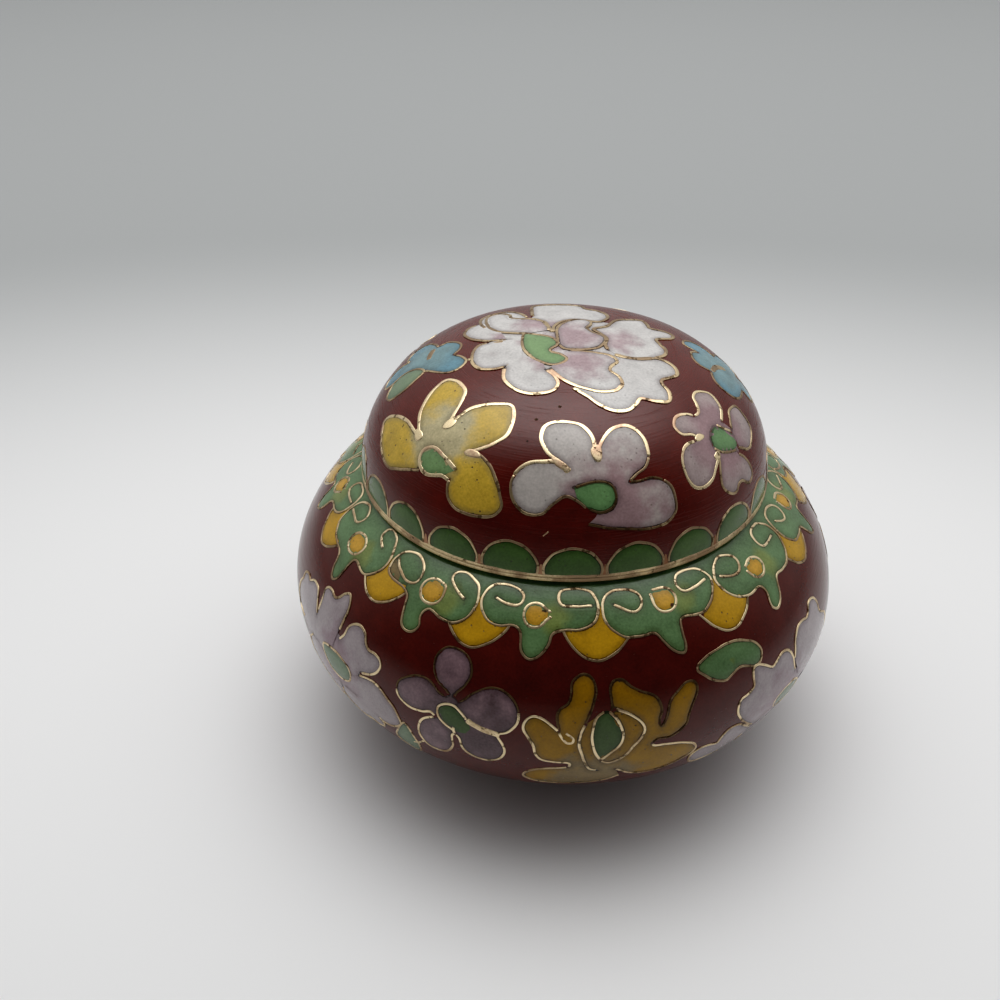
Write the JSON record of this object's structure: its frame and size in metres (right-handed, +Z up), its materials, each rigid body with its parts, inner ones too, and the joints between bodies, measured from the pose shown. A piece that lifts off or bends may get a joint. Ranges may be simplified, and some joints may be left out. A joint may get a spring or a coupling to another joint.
{
  "type": "cloisonne lidded jar",
  "caption": "Squat round enamelled copper jar on a low foot ring, with a loose domed lid; dark red ground, gilt wired flowers and a green scrolled garland.",
  "frame": {"origin": "centre of the foot ring's underside, on the surface that the jar stands on", "axes": "+Z up along the jar's turning axis; -Y is the side with the yellow lotus"},
  "size_m": [0.07, 0.07, 0.0518],
  "materials": {
    "enamel": "glossy polished vitreous enamel, dark red ground with green, yellow, pink, lilac and blue cells",
    "gilt_copper": "worn gilding over copper, satin",
    "counter_enamel": "plain blue-green enamel inside and underneath, glossy"
  },
  "bodies": {
    "root": {"jar_body": "enamel", "foot_ring": "gilt_copper", "mouth_collar": "gilt_copper", "jar_lid": "enamel", "lid_rim": "gilt_copper"}
  },
  "joints": []
}
